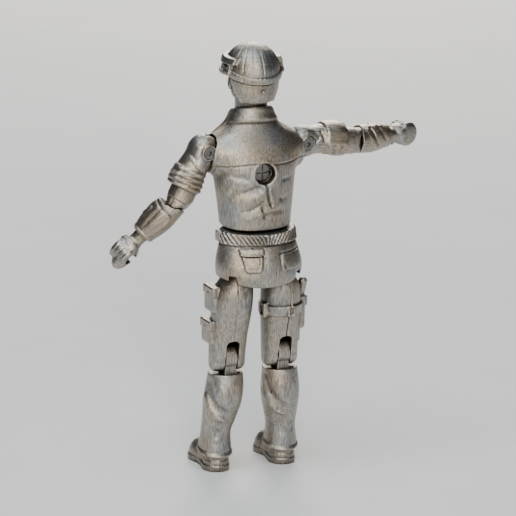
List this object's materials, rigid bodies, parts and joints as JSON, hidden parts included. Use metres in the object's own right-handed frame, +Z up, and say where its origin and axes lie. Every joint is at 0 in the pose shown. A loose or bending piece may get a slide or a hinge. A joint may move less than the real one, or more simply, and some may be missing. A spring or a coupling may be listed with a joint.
{
  "type": "action figure",
  "caption": "Jointed action figure in uniform and helmet, with swivel arms, an O-ring waist, hinged elbows and knees, and peg holes in its back and feet.",
  "frame": {"origin": "on the floor, under the middle of the figure's bounding box in its rest pose", "axes": "+Z up; the figure faces -Y and its left side is +X"},
  "size_m": [0.0748, 0.0212, 0.0965],
  "materials": {
    "silver_figure": "burnished",
    "steel_pins": "brushed",
    "ring_rubber": "matte"
  },
  "bodies": {
    "torso": {"torso_front": "silver_figure", "torso_back": "silver_figure", "torso_screw": "steel_pins"},
    "ring": {"o_ring": "ring_rubber"},
    "hips": {"waist": "silver_figure", "t_hook": "steel_pins"},
    "head": {"head": "silver_figure", "helmet": "silver_figure"},
    "left_shoulder": {"left_shoulder_disc": "silver_figure"},
    "left_arm": {"left_upper_arm": "silver_figure", "left_shoulder_rivet": "steel_pins"},
    "left_biceps": {"left_biceps": "silver_figure", "left_elbow_pin": "steel_pins"},
    "left_forearm": {"left_forearm": "silver_figure"},
    "left_thigh": {"left_thigh_outer": "silver_figure", "left_thigh_inner": "silver_figure", "left_knee_pin": "steel_pins"},
    "left_lower_leg": {"left_lower_leg": "silver_figure"},
    "right_shoulder": {"right_shoulder_disc": "silver_figure"},
    "right_arm": {"right_upper_arm": "silver_figure", "right_shoulder_rivet": "steel_pins"},
    "right_biceps": {"right_biceps": "silver_figure", "right_elbow_pin": "steel_pins"},
    "right_forearm": {"right_forearm": "silver_figure"},
    "right_thigh": {"right_thigh_outer": "silver_figure", "right_thigh_inner": "silver_figure", "right_knee_pin": "steel_pins"},
    "right_lower_leg": {"right_lower_leg": "silver_figure"}
  },
  "joints": [
    {"name": "neck_turn", "type": "hinge", "parent": "torso", "child": "head", "pos_m": [0.00537, -0.00153, 0.08], "axis": [0, 0, 1], "range_deg": [-90, 90]},
    {"name": "waist_bend", "type": "hinge", "parent": "torso", "child": "ring", "pos_m": [0.00537, 0.00187, 0.0556], "axis": [1, 0, 0], "range_deg": [-13, 3], "deforming": ["o_ring"]},
    {"name": "waist_twist", "type": "hinge", "parent": "ring", "child": "hips", "pos_m": [0.00537, 0.00187, 0.0556], "axis": [0, 0, 1], "range_deg": [-60, 60]},
    {"name": "left_arm_swing", "type": "hinge", "parent": "torso", "child": "left_shoulder", "pos_m": [0.01717, -0.00003, 0.0733], "axis": [-1, 0, 0], "continuous": true},
    {"name": "left_arm_lift", "type": "hinge", "parent": "left_shoulder", "child": "left_arm", "pos_m": [0.01717, -0.00003, 0.0733], "axis": [0, -1, 0], "range_deg": [-4, 62]},
    {"name": "left_biceps_swivel", "type": "hinge", "parent": "left_arm", "child": "left_biceps", "pos_m": [0.0214, -0.00003, 0.06535], "axis": [-0.4695, 0, 0.8829], "range_deg": [-90, 90]},
    {"name": "left_elbow", "type": "hinge", "parent": "left_biceps", "child": "left_forearm", "pos_m": [0.02262, -0.00003, 0.06306], "axis": [-0.6243, -0.7071, -0.332], "range_deg": [-20, 45]},
    {"name": "left_hip", "type": "hinge", "parent": "hips", "child": "left_thigh", "pos_m": [0.00952, 0.00377, 0.0478], "axis": [-1, 0, 0], "range_deg": [-5, 85]},
    {"name": "left_knee", "type": "hinge", "parent": "left_thigh", "child": "left_lower_leg", "pos_m": [0.01172, 0.00217, 0.0265], "axis": [1, 0, 0], "range_deg": [0, 80]},
    {"name": "right_arm_swing", "type": "hinge", "parent": "torso", "child": "right_shoulder", "pos_m": [-0.00643, -0.00003, 0.0733], "axis": [-1, 0, 0], "continuous": true},
    {"name": "right_arm_lift", "type": "hinge", "parent": "right_shoulder", "child": "right_arm", "pos_m": [-0.00643, -0.00003, 0.0733], "axis": [0, 1, 0], "range_deg": [-62, 4]},
    {"name": "right_biceps_swivel", "type": "hinge", "parent": "right_arm", "child": "right_biceps", "pos_m": [-0.01541, -0.00003, 0.07267], "axis": [0.9976, 0, 0.0698], "range_deg": [-90, 90]},
    {"name": "right_elbow", "type": "hinge", "parent": "right_biceps", "child": "right_forearm", "pos_m": [-0.018, -0.00003, 0.07249], "axis": [-0.0698, 0, 0.9976], "range_deg": [-22, 43]},
    {"name": "right_hip", "type": "hinge", "parent": "hips", "child": "right_thigh", "pos_m": [0.00122, 0.00377, 0.0478], "axis": [-1, 0, 0], "range_deg": [-5, 85]},
    {"name": "right_knee", "type": "hinge", "parent": "right_thigh", "child": "right_lower_leg", "pos_m": [-0.00098, 0.00217, 0.0265], "axis": [1, 0, 0], "range_deg": [0, 80]}
  ]
}
